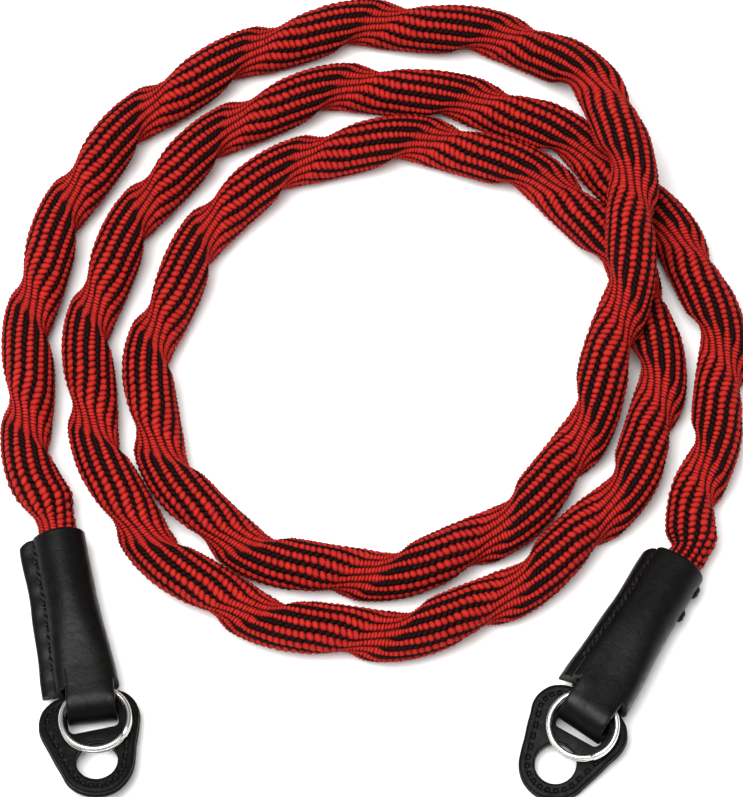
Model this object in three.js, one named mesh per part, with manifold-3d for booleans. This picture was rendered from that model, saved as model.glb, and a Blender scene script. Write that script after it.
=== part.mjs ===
// Coiled camera strap: a round braided cord laid in loose turns, with a leather
// sleeve, a leather guard tab and a steel split ring at each end.
// Millimetres, +Z up. The strap lies on the plane z = 0, its origin under the middle
// of everything, +Y away from the two leather ends.
import * as THREE from 'three';
import { mergeVertices } from 'three/addons/utils/BufferGeometryUtils.js';
import Module from 'manifold-3d';

const wasm = await Module();
wasm.setup();

// Driving dimensions
const cord = {
  crestRadius: 5.75,     // axis to the top of the raised lobe
  valleyRadius: 3.5,     // axis to the floor of the groove between lobe turns
  lobePitch: 27.4,       // one turn of the lobe along the cord
  lobeStart: 0.26,       // share of a turn by which the lobe is turned at the left end
  stepsPerLobe: 8,
  heldLength: 14,        // how far each end reaches into its sleeve
  neckLength: 3,         // how far the cord stays squeezed outside the mouth
  squeezeLength: 5,      // the lobe grows to its full size over this length
  approachLength: 4,     // the cord runs straight for this far before the mouth
};
const sleeve = {
  wall: 1.25,
  boreRadius: 4.1,
  length: 33.5,
  endHalfWidth: 6.3,
  endHalfHeight: 4.6,
  lipWidth: 2.9,         // the sewn lip that stands out along one side
  lipHeight: 2.9,
};
const tongue = {
  width: 10,
  sideShift: 0.2,        // off the sleeve's middle, away from the lip
  reach: 7.7,            // sleeve end to the outside of the fold
  tail: 6.5,             // both layers run back into the sleeve by this much
};
const tab = {
  thickness: 2.4,
  sideShift: -1.0,       // the tab's middle line, towards the lip
  halfWidth: 10.2,
  shoulderRadius: 6,
  tipRadius: 7.4,
  holeRadius: 4.15,
  web: 2.9,              // leather between the slot and the hole
  slotPlay: 0.9,         // open slit in front of the fold
  slotMargin: 0.5,       // slot beyond the tongue at each side
};
const ring = {
  wire: 1.1,
  outerRadius: 7.3,
  turnGap: 0.12,         // between its two turns
  crossing: 0.08,        // share of a turn on each side of the step between the turns
  sideShift: 0.25,
};
const clearance = 0.3;
const ringEndsAt = Math.PI / 4;      // where round the ring its wire ends are

// How each end lies: the middle of its sleeve's mouth, the way that the sleeve points,
// how far its far end tips up, and how the tab and ring slope within it (up is plus)
const ends = [
  { side: 'left', mouthX: -63.6, mouthY: -33.8, heading: -77.9, pitch: 0, tabSlope: 7, ringSlope: 6.5 },
  { side: 'right', mouthX: 62.4, mouthY: -40.4, heading: -120.9, pitch: 2.8, tabSlope: -12, ringSlope: -8 },
];

// The cord's route from the left sleeve to the right one, clockwise from above.
// The rise over the surface is in cord diameters.
const cordRoute = [
  { x: -69.0, y: -21.5, rise: 0 },
  { x: -71.0, y: -6.0, rise: 0 },
  { x: -71.0, y: 15.5, rise: 0 },
  { x: -66.5, y: 36.0, rise: 0 },
  { x: -57.0, y: 55.0, rise: 0 },
  { x: -42.0, y: 70.0, rise: 0 },
  { x: -24.0, y: 80.5, rise: 0 },
  { x: -3.5, y: 86.5, rise: 0 },
  { x: 17.5, y: 85.5, rise: 0.02 },
  { x: 37.5, y: 79.5, rise: 0.08 },
  { x: 49.5, y: 64.0, rise: 0.7 },
  { x: 54.0, y: 44.0, rise: 1.09 },
  { x: 53.5, y: 23.0, rise: 1.07 },
  { x: 49.0, y: 4.0, rise: 0.54 },
  { x: 41.5, y: -15.0, rise: 0.04 },
  { x: 28.0, y: -30.5, rise: 0.01 },
  { x: 9.0, y: -40.5, rise: 0 },
  { x: -12.0, y: -41.0, rise: 0 },
  { x: -31.0, y: -32.0, rise: 0 },
  { x: -43.0, y: -15.0, rise: 0 },
  { x: -46.0, y: 6.0, rise: 0 },
  { x: -39.5, y: 26.0, rise: 0 },
  { x: -29.0, y: 43.5, rise: 0 },
  { x: -11.0, y: 54.5, rise: 0 },
  { x: 9.5, y: 58.0, rise: 0 },
  { x: 30.0, y: 52.0, rise: 0 },
  { x: 46.0, y: 39.0, rise: 0 },
  { x: 56.5, y: 21.0, rise: 0 },
  { x: 59.5, y: 0.5, rise: 0 },
  { x: 53.5, y: -20.0, rise: 0 },
  { x: 40.0, y: -36.0, rise: 0 },
  { x: 23.5, y: -48.5, rise: 0 },
  { x: 3.5, y: -55.0, rise: 0 },
  { x: -18.0, y: -52.5, rise: 0 },
  { x: -36.5, y: -43.0, rise: 0 },
  { x: -50.0, y: -27.5, rise: 0 },
  { x: -57.5, y: -7.5, rise: 0 },
  { x: -58.5, y: 13.5, rise: 0 },
  { x: -52.5, y: 33.5, rise: 0 },
  { x: -41.0, y: 51.5, rise: 0 },
  { x: -24.5, y: 64.5, rise: 0 },
  { x: -5.0, y: 71.0, rise: 0 },
  { x: 16.5, y: 68.5, rise: 0 },
  { x: 36.5, y: 62.0, rise: 0 },
  { x: 52.5, y: 48.5, rise: 0 },
  { x: 65.5, y: 32.0, rise: 0 },
  { x: 72.5, y: 11.5, rise: 0 },
  { x: 71.0, y: -9.5, rise: 0 },
  { x: 66.5, y: -24.0, rise: 0 },
];

// The cord's section round one turn: swell is the share of the way from the groove's
// floor to the lobe's crest. It swells slowly and falls steeply back into the groove.
const lobeProfile = [
  { turn: 0.0, swell: 0.0 },
  { turn: 0.08, swell: 0.22 },
  { turn: 0.17, swell: 0.5 },
  { turn: 0.27, swell: 0.73 },
  { turn: 0.38, swell: 0.89 },
  { turn: 0.49, swell: 0.98 },
  { turn: 0.6, swell: 1.0 },
  { turn: 0.7, swell: 0.92 },
  { turn: 0.79, swell: 0.74 },
  { turn: 0.86, swell: 0.5 },
  { turn: 0.91, swell: 0.26 },
  { turn: 0.955, swell: 0.07 },
];

// The sleeve's sections: along is the share of its length, flatten the share of the
// way from the round mouth to the flat end.
const sleeveSections = [
  { along: 0.0, flatten: 0.0 },
  { along: 0.42, flatten: 0.0 },
  { along: 0.58, flatten: 0.22 },
  { along: 0.74, flatten: 0.62 },
  { along: 0.89, flatten: 0.92 },
  { along: 1.0, flatten: 1.0 },
];
const roundCorner = 2;     // exponent of an ellipse
const flatCorner = 4;      // exponent of a flat section with round corners

// Facets
const sleeveSides = 20;
const foldSteps = 12;
const ringSides = 6;
const ringStepsPerTurn = 28;
const tabArcSteps = 12;

// Materials
const redBlackYarn = new THREE.MeshStandardMaterial({ color: 0xb02a22, roughness: 0.75 });
const blackLeather = new THREE.MeshStandardMaterial({ color: 0x232422, roughness: 0.5 });
const brightSteel = new THREE.MeshStandardMaterial({ color: 0xc8c8c6, roughness: 0.2, metalness: 1 });

const lerp = THREE.MathUtils.lerp;
const degrees = THREE.MathUtils.degToRad;

// Closed bodies from rings of points
function loft(rings) {
  const count = rings[0].length;
  const points = rings.flat().flatMap((p) => [p.x, p.y, p.z]);
  const faces = [];
  for (let i = 0; i + 1 < rings.length; i++) {
    for (let j = 0; j < count; j++) {
      const a = i * count + j;
      const b = i * count + (j + 1) % count;
      faces.push(a, b, b + count, a, b + count, a + count);
    }
  }
  const addCap = (ringPoints, first, reversed) => {
    const middle = points.length / 3;
    const centre = ringPoints.reduce((sum, p) => sum.add(p), new THREE.Vector3()).divideScalar(count);
    points.push(centre.x, centre.y, centre.z);
    for (let j = 0; j < count; j++) {
      const a = first + j;
      const b = first + (j + 1) % count;
      faces.push(middle, reversed ? a : b, reversed ? b : a);
    }
  };
  addCap(rings[0], 0, false);
  addCap(rings[rings.length - 1], (rings.length - 1) * count, true);
  const geometry = new THREE.BufferGeometry();
  geometry.setAttribute('position', new THREE.Float32BufferAttribute(points, 3));
  geometry.setIndex(faces);
  return faceOutward(geometry);
}

function faceOutward(geometry) {
  const position = geometry.getAttribute('position');
  const index = geometry.getIndex();
  const corner = [new THREE.Vector3(), new THREE.Vector3(), new THREE.Vector3()];
  let volume = 0;
  for (let i = 0; i < index.count; i += 3) {
    corner.forEach((p, k) => p.fromBufferAttribute(position, index.getX(i + k)));
    volume += corner[0].dot(corner[1].clone().cross(corner[2]));
  }
  if (volume < 0) {
    for (let i = 0; i < index.count; i += 3) {
      const second = index.getX(i + 1);
      index.setX(i + 1, index.getX(i + 2));
      index.setX(i + 2, second);
    }
  }
  geometry.computeVertexNormals();
  return geometry;
}

// Booleans
function toSolid(geometry) {
  const bare = geometry.clone();
  bare.deleteAttribute('normal');
  bare.deleteAttribute('uv');
  const merged = mergeVertices(bare, 1e-4);
  return new wasm.Manifold(new wasm.Mesh({
    numProp: 3,
    vertProperties: Float32Array.from(merged.getAttribute('position').array),
    triVerts: Uint32Array.from(merged.getIndex().array),
  }));
}

function toGeometry(solid) {
  const mesh = solid.getMesh();
  const geometry = new THREE.BufferGeometry();
  geometry.setAttribute('position', new THREE.Float32BufferAttribute(mesh.vertProperties, 3));
  geometry.setIndex(Array.from(mesh.triVerts));
  geometry.computeVertexNormals();
  return geometry;
}

// The frame of one leather end: x along the sleeve from its mouth, z up from the
// surface that it lies on
const mouthRadius = sleeve.boreRadius + sleeve.wall;

function endGroup(end) {
  const group = new THREE.Group();
  group.rotation.order = 'ZYX';
  group.position.set(end.mouthX, end.mouthY, 0);
  group.rotation.set(0, -degrees(end.pitch), degrees(end.heading));
  group.updateMatrixWorld(true);
  return group;
}

// The cord
function cordLine() {
  const inSleeve = (end, along) => {
    const place = new THREE.Vector3(along, 0, mouthRadius);
    return place.applyMatrix4(endGroup(end).matrixWorld);
  };
  const [left, right] = ends;
  const steps = [cord.heldLength, 0, -cord.approachLength];
  const lying = cordRoute.map((p) => {
    const height = cord.crestRadius * (1 + 2 * p.rise);
    return new THREE.Vector3(p.x, p.y, height);
  });
  return new THREE.CatmullRomCurve3([
    ...steps.map((along) => inSleeve(left, along)),
    ...lying,
    ...steps.reverse().map((along) => inSleeve(right, along)),
  ]);
}

function cordGeometry() {
  const line = cordLine();
  line.arcLengthDivisions = 2000;
  const length = line.getLength();
  const steps = Math.round(length / cord.lobePitch * cord.stepsPerLobe);
  const heldRadius = sleeve.boreRadius - clearance;
  const up = new THREE.Vector3(0, 0, 1);
  const rings = [];
  for (let i = 0; i <= steps; i++) {
    const along = length * i / steps;
    const centre = line.getPointAt(i / steps);
    const travel = line.getTangentAt(i / steps);
    const outward = up.clone().cross(travel).normalize();
    const over = travel.clone().cross(outward);
    const toMouth = Math.min(along, length - along) - cord.heldLength;
    const free = THREE.MathUtils.smoothstep(toMouth, cord.neckLength, cord.neckLength + cord.squeezeLength);
    const turned = along / cord.lobePitch + cord.lobeStart;
    rings.push(lobeProfile.map((row) => {
      const lobed = lerp(cord.valleyRadius, cord.crestRadius, row.swell);
      const radius = lerp(heldRadius, lobed, free);
      const angle = 2 * Math.PI * (row.turn - turned);
      return centre.clone()
        .addScaledVector(outward, radius * Math.cos(angle))
        .addScaledVector(over, radius * Math.sin(angle));
    }));
  }
  return loft(rings);
}

// The sleeve and its tongue
function sleeveSize(flatten) {
  return {
    halfWidth: lerp(mouthRadius, sleeve.endHalfWidth, flatten),
    halfHeight: lerp(mouthRadius, sleeve.endHalfHeight, flatten),
    corner: lerp(roundCorner, flatCorner, flatten),
  };
}

function sleeveRing(x, flatten, inset) {
  const size = sleeveSize(flatten);
  const ringPoints = [];
  for (let j = 0; j < sleeveSides; j++) {
    const angle = 2 * Math.PI * (j + 0.5) / sleeveSides;
    const across = Math.sign(Math.cos(angle)) * Math.abs(Math.cos(angle)) ** (2 / size.corner);
    const rise = Math.sign(Math.sin(angle)) * Math.abs(Math.sin(angle)) ** (2 / size.corner);
    const y = (size.halfWidth - inset) * across;
    const z = size.halfHeight + (size.halfHeight - inset) * rise;
    ringPoints.push(new THREE.Vector3(x, y, z));
  }
  return ringPoints;
}

function lipRing(x, flatten) {
  const size = sleeveSize(flatten);
  const inner = -size.halfWidth + sleeve.wall * 0.8;
  const outer = -size.halfWidth - sleeve.lipWidth;
  const half = sleeve.lipHeight / 2;
  const edge = half * 0.5;      // the lip's edge is rounded in two facets
  const outline = [
    [inner, -half],
    [outer + edge, -half],
    [outer, -edge],
    [outer, edge],
    [outer + edge, half],
    [inner, half],
  ];
  return outline.map(([y, z]) => new THREE.Vector3(x, y, size.halfHeight + z));
}

// The tongue runs on from the sleeve's top wall, folds down and comes back along its floor
function tongueGeometry() {
  const outer = sleeve.endHalfHeight;
  const inner = outer - sleeve.wall;
  const foldX = sleeve.length + tongue.reach - outer;
  const startX = sleeve.length - tongue.tail;
  const side = new THREE.Shape();
  side.moveTo(startX, 2 * outer);
  side.lineTo(foldX, 2 * outer);
  side.absarc(foldX, outer, outer, Math.PI / 2, -Math.PI / 2, true);
  side.lineTo(startX, 0);
  side.lineTo(startX, sleeve.wall);
  side.lineTo(foldX, sleeve.wall);
  side.absarc(foldX, outer, inner, -Math.PI / 2, Math.PI / 2, false);
  side.lineTo(startX, 2 * outer - sleeve.wall);
  const band = new THREE.ExtrudeGeometry(side, {
    depth: tongue.width,
    bevelEnabled: false,
    curveSegments: foldSteps,
  });
  band.rotateX(Math.PI / 2);
  band.translate(0, tongue.width / 2 + tongue.sideShift, 0);
  return band;
}

function sleeveGeometry() {
  const past = 1;      // the bore is cut this far past both ends of the wall
  const at = (row) => row.along * sleeve.length;
  const walls = sleeveSections.map((row) => sleeveRing(at(row), row.flatten, 0));
  const bore = [
    sleeveRing(-past, 0, sleeve.wall),
    ...sleeveSections.map((row) => sleeveRing(at(row), row.flatten, sleeve.wall)),
    sleeveRing(sleeve.length + past, 1, sleeve.wall),
  ];
  const lip = sleeveSections.map((row) => lipRing(at(row), row.flatten));
  const tube = toSolid(loft(walls)).add(toSolid(loft(lip))).subtract(toSolid(loft(bore)));
  return toGeometry(tube.add(toSolid(tongueGeometry())));
}

// The guard tab, flat in its own plane, with its x and y those of the sleeve
const foldEnd = sleeve.length + tongue.reach;
const bridge = {
  start: sleeve.length + clearance + 0.1,
  end: foldEnd - sleeve.endHalfHeight + 0.6,
  height: sleeve.wall + 0.55 + tab.thickness / 2,
};
const slotEnd = foldEnd + tab.slotPlay;
const holeX = slotEnd + tab.web + tab.holeRadius;

function tabGeometry() {
  const shoulderX = bridge.start + tab.shoulderRadius;
  const shoulderY = tab.halfWidth - tab.shoulderRadius;
  const run = Math.hypot(holeX - shoulderX, shoulderY);
  const lean = Math.atan2(shoulderY, holeX - shoulderX);
  const tangent = Math.acos((tab.shoulderRadius - tab.tipRadius) / run) - lean;
  const outline = new THREE.Shape();
  outline.absarc(shoulderX, shoulderY, tab.shoulderRadius, tangent, Math.PI, false);
  outline.absarc(shoulderX, -shoulderY, tab.shoulderRadius, Math.PI, 2 * Math.PI - tangent, false);
  outline.absarc(holeX, 0, tab.tipRadius, -tangent, tangent, false);
  const slotHalf = tongue.width / 2 + tab.slotMargin;
  const slotY = tongue.sideShift - tab.sideShift;
  const slot = new THREE.Path();
  slot.moveTo(bridge.end, slotY - slotHalf);
  slot.lineTo(slotEnd, slotY - slotHalf);
  slot.lineTo(slotEnd, slotY + slotHalf);
  slot.lineTo(bridge.end, slotY + slotHalf);
  slot.closePath();
  const hole = new THREE.Path();
  hole.absarc(holeX, 0, tab.holeRadius, 0, 2 * Math.PI, true);
  outline.holes.push(slot, hole);
  const plate = new THREE.ExtrudeGeometry(outline, {
    depth: tab.thickness,
    bevelEnabled: false,
    curveSegments: tabArcSteps,
  });
  plate.translate(-bridge.start, 0, -tab.thickness / 2);
  return plate;
}

// The split ring: one wire in two flat turns, with a step between its two ends
const ringHeight = 2 * ring.wire + ring.turnGap;

function ringGeometry() {
  const rise = ring.wire + ring.turnGap;
  const radius = ring.outerRadius - ring.wire / 2;
  const steps = 2 * ringStepsPerTurn;
  const rings = [];
  for (let i = 0; i <= steps; i++) {
    const wound = lerp(ring.crossing, 2 - ring.crossing, i / steps);
    const stepped = THREE.MathUtils.smoothstep(wound, 1 - ring.crossing, 1 + ring.crossing);
    const angle = 2 * Math.PI * wound + ringEndsAt;
    const height = rise * (stepped - 0.5);
    const section = [];
    for (let j = 0; j < ringSides; j++) {
      const around = 2 * Math.PI * (j + 0.5) / ringSides;
      const reach = radius + ring.wire / 2 * Math.cos(around);
      const z = height + ring.wire / 2 * Math.sin(around);
      section.push(new THREE.Vector3(reach * Math.cos(angle), reach * Math.sin(angle), z));
    }
    rings.push(section);
  }
  return loft(rings);
}

// Assembly
const strap = new THREE.Group();

function addPiece(parent, name, geometry, material) {
  const piece = new THREE.Mesh(geometry, material);
  piece.name = name;
  parent.add(piece);
  return piece;
}

addPiece(strap, 'braided_cord', cordGeometry(), redBlackYarn);

const sleeveShape = sleeveGeometry();
const tabShape = tabGeometry();
const ringShape = ringGeometry();

for (const end of ends) {
  const group = endGroup(end);
  strap.add(group);
  addPiece(group, `end_sleeve_${end.side}`, sleeveShape, blackLeather);
  const plate = addPiece(group, `guard_tab_${end.side}`, tabShape, blackLeather);
  const droop = Math.max(0, -Math.tan(degrees(end.tabSlope))) * (bridge.end - bridge.start);
  const seat = bridge.height + droop;
  plate.position.set(bridge.start, tab.sideShift, seat);
  plate.rotation.y = -degrees(end.tabSlope);
  const loop = addPiece(group, `split_ring_${end.side}`, ringShape, brightSteel);
  const ringX = bridge.start - 0.5 + ring.outerRadius;
  const ringZ = seat + tab.thickness / 2 + clearance + ringHeight / 2;
  const swing = ringX - bridge.start;
  loop.position.set(ringX, ring.sideShift, ringZ + swing * Math.tan(degrees(end.ringSlope)));
  loop.rotation.y = -degrees(end.ringSlope);
}

// The origin goes under the middle of the whole strap
const footprint = new THREE.Box3().setFromObject(strap, true);
const middle = footprint.getCenter(new THREE.Vector3());
strap.position.set(-middle.x, -middle.y, -footprint.min.z);
strap.updateMatrixWorld(true);

export default strap;
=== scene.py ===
import math
import bmesh
import bpy
import numpy as np
from mathutils import Matrix, Vector


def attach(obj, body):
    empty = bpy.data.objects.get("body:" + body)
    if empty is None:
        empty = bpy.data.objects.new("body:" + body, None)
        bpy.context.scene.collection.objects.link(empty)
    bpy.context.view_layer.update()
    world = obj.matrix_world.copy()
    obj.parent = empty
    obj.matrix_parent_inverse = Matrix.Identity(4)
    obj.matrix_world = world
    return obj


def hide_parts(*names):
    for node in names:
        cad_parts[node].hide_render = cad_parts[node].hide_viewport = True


# The finish of a coiled camera strap, in metres: a round cord braided from red and black
# yarn, and at each end a sewn leather sleeve, a leather guard tab and a steel split ring.
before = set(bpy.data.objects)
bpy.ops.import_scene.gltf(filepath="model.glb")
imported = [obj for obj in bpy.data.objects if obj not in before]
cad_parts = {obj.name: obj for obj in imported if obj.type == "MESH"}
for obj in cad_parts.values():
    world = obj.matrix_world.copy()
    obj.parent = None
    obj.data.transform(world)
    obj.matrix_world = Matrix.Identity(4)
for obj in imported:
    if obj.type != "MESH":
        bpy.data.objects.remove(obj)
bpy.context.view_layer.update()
MM = 0.001

# Camera: how high it stands over the floor, how far it is from the middle of the
# picture, and the lens that gives the picture's scale
CAMERA_ELEVATION = math.radians(64.635)
CAMERA_DISTANCE = 0.79136
LENS = 171.58
SENSOR = 36
AIM = Vector((-0.0007156, -0.0014893, 0))
NEAR_CLIP = 0.05
FAR_CLIP = 10

# The cord's section and lobe
CREST_RADIUS = 5.75 * MM
VALLEY_RADIUS = 3.5 * MM
HELD_RADIUS = 3.8 * MM
LOBE_PITCH = 27.4 * MM
LOBE_START = 0.26
HELD_LENGTH = 14 * MM
NECK_LENGTH = 3 * MM
SQUEEZE_LENGTH = 5 * MM
BEFORE_MOUTH = 4 * MM       # the cord is straight this far outside each sleeve
LINE_STEP = 0.25 * MM
LINE_CUTS = 60              # first cuts between two points of the route
SLOPE_TURN = 0.01           # the swell's slope is taken over this much turn each way

# The swell of the section round one turn, from the groove's floor to the lobe's crest
LOBE_TURN = (0, 0.08, 0.17, 0.27, 0.38, 0.49, 0.6, 0.7, 0.79, 0.835, 0.875, 0.93, 1)
LOBE_SWELL = (0, 0.22, 0.5, 0.73, 0.89, 0.98, 1, 0.95, 0.82, 0.56, 0.26, 0.06, 0)

# The braid: 28 strands each way, each passing over two and under two, so that its floats
# stand in columns along the cord, red and black by turns. The black columns are thick on
# the swell and thin in the groove. Against the turn: the share of the strands passed, and
# the columns' side sway in turns, which over a whole turn comes to one pair of columns.
STRANDS = 28
RED_LAY = 0.9
BRAID_TURN = (0.12, 0.20, 0.30, 0.37, 0.47, 0.61, 0.70, 0.765, 0.80, 0.86, 0.92, 1.0, 1.06, 1.12)
BRAID_PASSED = (0, 0.046, 0.107, 0.152, 0.214, 0.321, 0.393, 0.464, 0.50, 0.60, 0.70, 0.83, 0.925, 1)
SWAY_TURN = (0.10, 0.35, 0.78, 0.86, 1.10)
SWAY_OVER = -4 / STRANDS
SWAY = (0, -0.115, -0.158, -0.167, SWAY_OVER)
# How much of a column pair is black, against the turn: most where the swell folds over
BLACK_TURN = (0, 0.06, 0.13, 0.2, 0.3, 0.5, 0.7, 0.79, 0.835, 0.865, 0.92, 1)
BLACK_SHARE = (0.18, 0.20, 0.27, 0.34, 0.41, 0.45, 0.51, 0.61, 0.54, 0.24, 0.18, 0.18)

# The two ends: the middle of the sleeve's mouth, the way that it points, its tip-up, the
# slopes of tab and ring in it and how high its sewn lip sits round it, all in degrees;
# how far the lip bends down, how full the leather is beside it, where the seam's thread
# shows on the far side, where the tongue folds, and how it strays sideways
ENDS = (
    {"side": "left", "mouth": (-0.0636, -0.0338), "heading": -77.9, "pitch": 0,
     "tab_slope": 7, "ring_slope": 6.5, "lip_rise": 0, "lip_bend": 0.3 * MM,
     "shoulder": 0.3 * MM, "side_bumps": (), "fold": 35.9 * MM,
     "tongue_sway": (0.5 * MM, 0.3 * MM, -0.5 * MM)},
    {"side": "right", "mouth": (0.0624, -0.0404), "heading": -120.9, "pitch": 2.8,
     "tab_slope": -12, "ring_slope": -8, "lip_rise": 10, "lip_bend": 2.6 * MM,
     "shoulder": 1.15 * MM, "side_bumps": (3.3 * MM, 9.4 * MM), "fold": 37.0 * MM,
     "tongue_sway": (0, 0, -0.5 * MM)},
)
LEAST_HEIGHT = 0.02 * MM    # nothing comes nearer to the surface than this
WALL = 1.25 * MM
MOUTH_RADIUS = 5.35 * MM
SLEEVE_LENGTH = 33.5 * MM
END_HALF_WIDTH = 6.3 * MM
END_HALF_HEIGHT = 4.6 * MM

# The cord's route from the left sleeve to the right one: x, y, and the rise over the
# surface in cord diameters
ROUTE = (
    (-0.0690, -0.0215, 0), (-0.0710, -0.0060, 0), (-0.0710, 0.0155, 0),
    (-0.0665, 0.0360, 0), (-0.0570, 0.0550, 0), (-0.0420, 0.0700, 0),
    (-0.0240, 0.0805, 0), (-0.0035, 0.0865, 0), (0.0175, 0.0855, 0.02),
    (0.0375, 0.0795, 0.08), (0.0495, 0.0640, 0.7), (0.0540, 0.0440, 1.09),
    (0.0535, 0.0230, 1.07), (0.0490, 0.0040, 0.54), (0.0415, -0.0150, 0.04),
    (0.0280, -0.0305, 0.01), (0.0090, -0.0405, 0), (-0.0120, -0.0410, 0),
    (-0.0310, -0.0320, 0), (-0.0430, -0.0150, 0), (-0.0460, 0.0060, 0),
    (-0.0395, 0.0260, 0), (-0.0290, 0.0435, 0), (-0.0110, 0.0545, 0),
    (0.0095, 0.0580, 0), (0.0300, 0.0520, 0), (0.0460, 0.0390, 0),
    (0.0565, 0.0210, 0), (0.0595, 0.0005, 0), (0.0535, -0.0200, 0),
    (0.0400, -0.0360, 0), (0.0235, -0.0485, 0), (0.0035, -0.0550, 0),
    (-0.0180, -0.0525, 0), (-0.0365, -0.0430, 0), (-0.0500, -0.0275, 0),
    (-0.0575, -0.0075, 0), (-0.0585, 0.0135, 0), (-0.0525, 0.0335, 0),
    (-0.0410, 0.0515, 0), (-0.0245, 0.0645, 0), (-0.0050, 0.0710, 0),
    (0.0165, 0.0685, 0), (0.0365, 0.0620, 0), (0.0525, 0.0485, 0),
    (0.0655, 0.0320, 0), (0.0725, 0.0115, 0), (0.0710, -0.0095, 0),
    (0.0665, -0.0240, 0),
)


def srgb(code):
    """A colour from its hex code, made linear."""
    parts = [int(code[i:i + 2], 16) / 255 for i in (1, 3, 5)]
    return tuple(c / 12.92 if c <= 0.04045 else ((c + 0.055) / 1.055) ** 2.4 for c in parts) + (1,)


def add(tree, kind, values=None, **settings):
    """A node with its settings, its inputs set or linked."""
    made = tree.nodes.new(kind)
    for name, value in settings.items():
        setattr(made, name, value)
    for name, value in (values or {}).items():
        if isinstance(value, bpy.types.NodeSocket):
            tree.links.new(value, made.inputs[name])
        else:
            made.inputs[name].default_value = value
    return made


def new_object(name, data):
    made = bpy.data.objects.new(name, data)
    bpy.context.scene.collection.objects.link(made)
    return made


def new_material(name):
    made = bpy.data.materials.new(name)
    made.use_nodes = True
    tree = made.node_tree
    return made, tree, tree.nodes["Principled BSDF"]


def end_matrix(end):
    """From the frame of one leather end, x along the sleeve from its mouth, to the strap's."""
    place = Vector((*end["mouth"], 0)) + AIM
    turn = Matrix.Rotation(math.radians(end["heading"]), 4, "Z")
    tip = Matrix.Rotation(-math.radians(end["pitch"]), 4, "Y")
    return Matrix.Translation(place) @ turn @ tip


# Camera
def make_camera():
    data = bpy.data.cameras.new("camera")
    data.lens = LENS
    data.sensor_width = SENSOR
    data.clip_start = NEAR_CLIP
    data.clip_end = FAR_CLIP
    camera = new_object("camera", data)
    back = Vector((0, -math.cos(CAMERA_ELEVATION), math.sin(CAMERA_ELEVATION)))
    camera.location = AIM + back * CAMERA_DISTANCE
    camera.rotation_euler = (math.pi / 2 - CAMERA_ELEVATION, 0, 0)
    bpy.context.scene.camera = camera


make_camera()


# The cord's centreline
def route_points():
    def in_sleeve(end, along):
        return end_matrix(end) @ Vector((along, 0, MOUTH_RADIUS))

    steps = (HELD_LENGTH, 0, -BEFORE_MOUTH)
    lying = [Vector((x, y, CREST_RADIUS * (1 + 2 * rise))) + AIM for x, y, rise in ROUTE]
    left, right = ENDS
    return np.array([in_sleeve(left, s) for s in steps] + lying
                    + [in_sleeve(right, s) for s in reversed(steps)])


def smooth_line(points, step):
    """A centripetal Catmull-Rom curve through the points, cut into even steps."""
    first = 2 * points[0] - points[1]
    last = 2 * points[-1] - points[-2]
    held = np.vstack([first, points, last])
    share = np.linspace(0, 1, LINE_CUTS, endpoint=False)[:, None]
    runs = []
    for a, b, c, d in zip(held, held[1:], held[2:], held[3:]):
        ab, bc, cd = (np.linalg.norm(q - p) ** 0.5 for p, q in ((a, b), (b, c), (c, d)))
        leave = ((b - a) / ab - (c - a) / (ab + bc) + (c - b) / bc) * bc
        arrive = ((c - b) / bc - (d - b) / (bc + cd) + (d - c) / cd) * bc
        square = 3 * (c - b) - 2 * leave - arrive
        cube = 2 * (b - c) + leave + arrive
        runs.append(b + leave * share + square * share ** 2 + cube * share ** 3)
    rough = np.vstack([*runs, points[-1:]])
    along = np.concatenate([[0], np.cumsum(np.linalg.norm(np.diff(rough, axis=0), axis=1))])
    even = np.linspace(0, along[-1], int(along[-1] / step) + 1)
    return even, np.stack([np.interp(even, along, rough[:, k]) for k in range(3)], 1)


ALONG, LINE = smooth_line(route_points(), LINE_STEP)
LENGTH = ALONG[-1]
TRAVEL = np.gradient(LINE, ALONG, axis=0)
TRAVEL /= np.linalg.norm(TRAVEL, axis=1)[:, None]
OUTWARD = np.cross((0, 0, 1.0), TRAVEL)
OUTWARD /= np.linalg.norm(OUTWARD, axis=1)[:, None]
OVER = np.cross(TRAVEL, OUTWARD)


def on_line(vectors, along):
    return np.stack([np.interp(along, ALONG, vectors[:, k]) for k in range(3)], -1)


def unit(vectors):
    return vectors / np.maximum(np.linalg.norm(vectors, axis=-1, keepdims=True), 1e-12)


def cord_surface(along, angle, lift=0.0):
    """Points and outward normals on the cord's skin. The angle is in turns."""
    turn = along / LOBE_PITCH + LOBE_START + angle
    swell = np.interp(turn % 1, LOBE_TURN, LOBE_SWELL)
    slope = (np.interp((turn + SLOPE_TURN) % 1, LOBE_TURN, LOBE_SWELL)
             - np.interp((turn - SLOPE_TURN) % 1, LOBE_TURN, LOBE_SWELL)) / (2 * SLOPE_TURN)
    to_mouth = np.minimum(along, LENGTH - along) - HELD_LENGTH
    free = np.clip((to_mouth - NECK_LENGTH) / SQUEEZE_LENGTH, 0, 1)
    free = free * free * (3 - 2 * free)
    lobed = VALLEY_RADIUS + (CREST_RADIUS - VALLEY_RADIUS) * swell
    radius = HELD_RADIUS + (lobed - HELD_RADIUS) * free
    slope = slope * (CREST_RADIUS - VALLEY_RADIUS) * free
    out, over, travel = (on_line(v, along) for v in (OUTWARD, OVER, TRAVEL))
    cosine, sine = np.cos(2 * np.pi * angle)[..., None], np.sin(2 * np.pi * angle)[..., None]
    radial = out * cosine + over * sine
    round_it = over * cosine - out * sine
    fall_round = (slope / (2 * np.pi * radius))[..., None]
    fall_along = (slope / LOBE_PITCH)[..., None]
    normal = unit(radial - round_it * fall_round - travel * fall_along)
    skin_place = on_line(LINE, along) + radial * radius[..., None]
    return skin_place + normal * np.asarray(lift)[..., None], normal


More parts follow.
